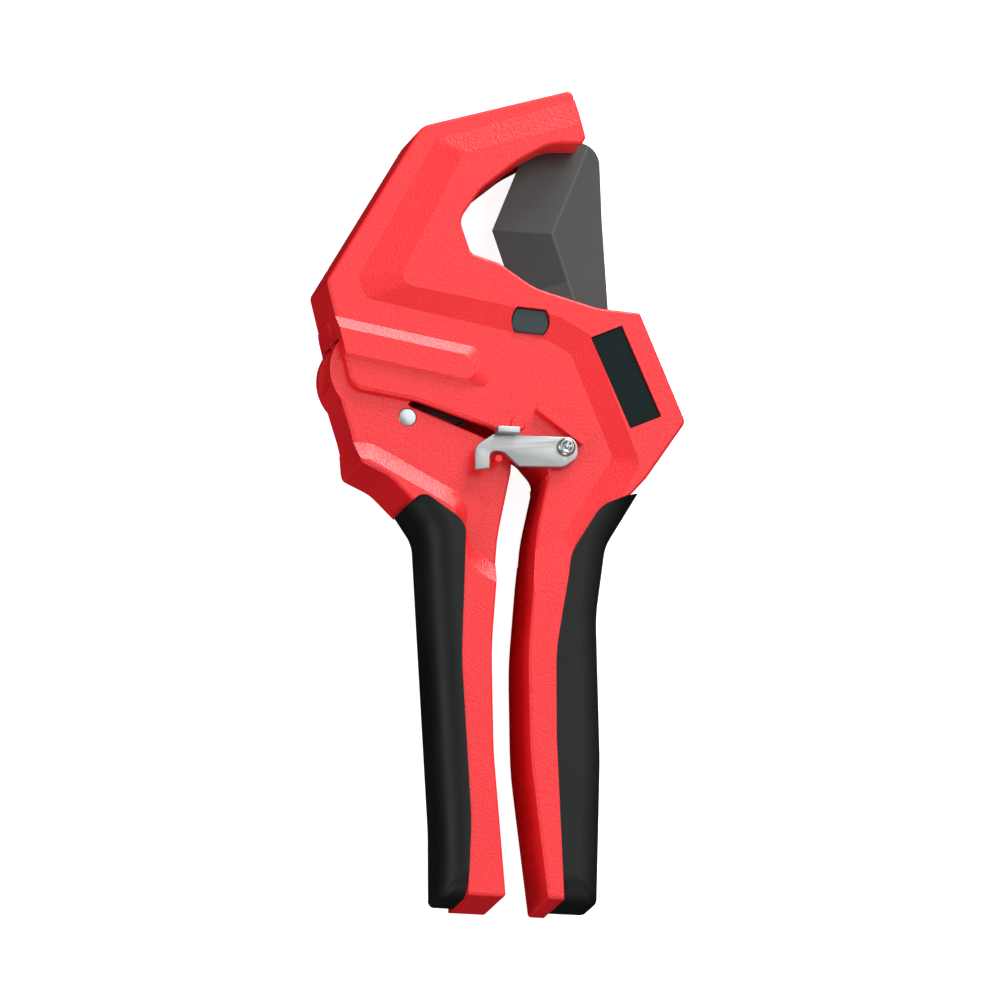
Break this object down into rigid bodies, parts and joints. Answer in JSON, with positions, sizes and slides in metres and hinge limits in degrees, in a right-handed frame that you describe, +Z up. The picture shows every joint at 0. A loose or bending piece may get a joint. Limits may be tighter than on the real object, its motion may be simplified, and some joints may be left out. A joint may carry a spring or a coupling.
{
  "type": "pvc pipe cutter",
  "caption": "Ratcheting one-hand cutter for plastic pipe: V blade swings through a hooked jaw, moving handle drives it, side latch holds the handles shut.",
  "frame": {"origin": "middle of the tool's footprint, on the surface that it lies on", "axes": "+Z up from the rear face through the thickness, +Y along the tool to the hook, +X to the open side of the jaw"},
  "size_m": [0.103, 0.2344, 0.0297],
  "materials": {
    "casing_plastic": "textured red moulding, fine spark grain",
    "grip_rubber": "soft satin black overmould",
    "blade_coating": "dark grey non-stick coating",
    "blackened_steel": "black oxide",
    "bright_steel": "bright ground",
    "spring_steel": "drawn wire and strip",
    "pawl_steel": "hardened, tumbled",
    "latch_zinc": "bright zinc plate",
    "name_plate_black": "blank, satin gloss"
  },
  "bodies": {
    "frame": {"front_casing": "casing_plastic", "rear_casing": "casing_plastic", "fixed_grip": "grip_rubber", "blade_pivot_bolt": "blackened_steel", "blade_pivot_nut": "blackened_steel", "blade_washers": "bright_steel", "handle_pivot_pin": "bright_steel", "holding_pawl_pin": "bright_steel", "casing_screws": "blackened_steel", "name_plate": "name_plate_black", "latch_rivet": "bright_steel", "latch_spring_washer": "bright_steel", "holding_pawl_spring": "spring_steel", "blade_return_spring": "spring_steel"},
    "cutting_blade": {"blade": "blade_coating"},
    "moving_handle": {"moving_handle_front": "casing_plastic", "moving_handle_rear": "casing_plastic", "moving_grip": "grip_rubber", "handle_screws": "blackened_steel", "drive_pawl_pin": "bright_steel", "drive_pawl_spring": "spring_steel", "handle_return_spring": "spring_steel"},
    "feed_pawl": {"drive_pawl": "pawl_steel"},
    "check_pawl": {"holding_pawl": "pawl_steel"},
    "latch": {"latch_lever": "latch_zinc"}
  },
  "joints": [
    {"name": "blade_swing", "type": "hinge", "parent": "frame", "child": "cutting_blade", "pos_m": [0.00703, 0.04939, 0.013], "axis": [0, 0, 1], "range_deg": [-80, 24]},
    {"name": "handle_squeeze", "type": "hinge", "parent": "frame", "child": "moving_handle", "pos_m": [-0.03697, 0.03339, 0.013], "axis": [0, 0, 1], "range_deg": [-26, 0]},
    {"name": "feed_pawl_swing", "type": "hinge", "parent": "moving_handle", "child": "feed_pawl", "pos_m": [-0.02777, 0.02029, 0.013], "axis": [0, 0, 1], "range_deg": [0, 33.8]},
    {"name": "check_pawl_swing", "type": "hinge", "parent": "frame", "child": "check_pawl", "pos_m": [0.02703, 0.01839, 0.013], "axis": [0, 0, -1], "range_deg": [0, 3]},
    {"name": "latch_swing", "type": "hinge", "parent": "frame", "child": "latch", "pos_m": [0.01693, 0.01289, 0.026], "axis": [0, 0, 1], "range_deg": [-39, 0]}
  ],
  "couplings": [
    {"joint": "feed_pawl_swing", "follows": "handle_squeeze", "ratio": -1.3},
    {"joint": "latch_swing", "follows": "handle_squeeze", "ratio": 1.5}
  ]
}
